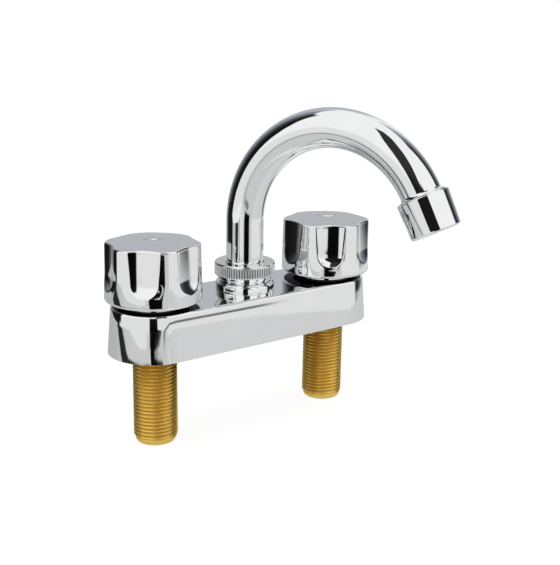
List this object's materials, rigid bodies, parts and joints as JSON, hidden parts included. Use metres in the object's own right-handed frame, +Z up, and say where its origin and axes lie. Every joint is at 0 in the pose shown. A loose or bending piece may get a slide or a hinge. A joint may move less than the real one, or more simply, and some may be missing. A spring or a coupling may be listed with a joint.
{
  "type": "mixer tap",
  "caption": "Deck-mounted two-handle basin mixer tap with fluted round knobs, a swivelling gooseneck spout with aerator, and threaded brass inlet shanks.",
  "frame": {"origin": "on the deck surface that the body stands on, midway between the two inlet shanks", "axes": "+X from the hot side to the cold side, -Y towards the user, +Z up from the deck"},
  "size_m": [0.1464, 0.1232, 0.1567],
  "materials": {
    "chrome_body": "polished chrome plate",
    "chrome_nut": "polished chrome plate, knurled",
    "chrome_tube": "polished chrome plate",
    "chrome_aerator": "polished chrome plate",
    "chrome_knob": "polished chrome plate",
    "chrome_cap": "polished chrome plate",
    "brass_shank": "machined bright brass",
    "brass_inner": "turned brass",
    "disc_ceramic": "lapped",
    "rubber": "moulded",
    "nylon": "moulded",
    "aerator_plastic": "moulded",
    "steel_mesh": "woven wire",
    "steel_screw": "bright"
  },
  "bodies": {
    "base": {"deck_body": "chrome_body", "spout_nut": "chrome_nut", "glide_washer": "nylon", "hot_shank": "brass_shank", "hot_bonnet": "brass_inner", "hot_bonnet_o_ring": "rubber", "hot_seat_gasket": "rubber", "hot_fixed_disc": "disc_ceramic", "cold_shank": "brass_shank", "cold_bonnet": "brass_inner", "cold_bonnet_o_ring": "rubber", "cold_seat_gasket": "rubber", "cold_fixed_disc": "disc_ceramic"},
    "swivel_spout": {"spout_tube": "chrome_tube", "spout_bush": "brass_inner", "spout_o_rings": "rubber", "outlet_collar": "chrome_tube", "aerator_housing": "chrome_aerator", "aerator_washer": "rubber", "aerator_insert": "aerator_plastic", "aerator_screen": "steel_mesh"},
    "hot_control": {"hot_knob": "chrome_knob", "hot_index_cap": "chrome_cap", "hot_knob_screw": "steel_screw", "hot_spindle": "brass_inner", "hot_spindle_o_ring": "rubber", "hot_moving_disc": "disc_ceramic"},
    "cold_control": {"cold_knob": "chrome_knob", "cold_index_cap": "chrome_cap", "cold_knob_screw": "steel_screw", "cold_spindle": "brass_inner", "cold_spindle_o_ring": "rubber", "cold_moving_disc": "disc_ceramic"}
  },
  "joints": [
    {"name": "spout_swivel", "type": "hinge", "parent": "base", "child": "swivel_spout", "pos_m": [0, 0, 0.03], "axis": [0, 0, 1], "continuous": true},
    {"name": "hot_turn", "type": "hinge", "parent": "base", "child": "hot_control", "pos_m": [-0.0508, 0, 0.03], "axis": [0, 0, 1], "range_deg": [0, 90]},
    {"name": "cold_turn", "type": "hinge", "parent": "base", "child": "cold_control", "pos_m": [0.0508, 0, 0.03], "axis": [0, 0, 1], "range_deg": [0, 90]}
  ]
}
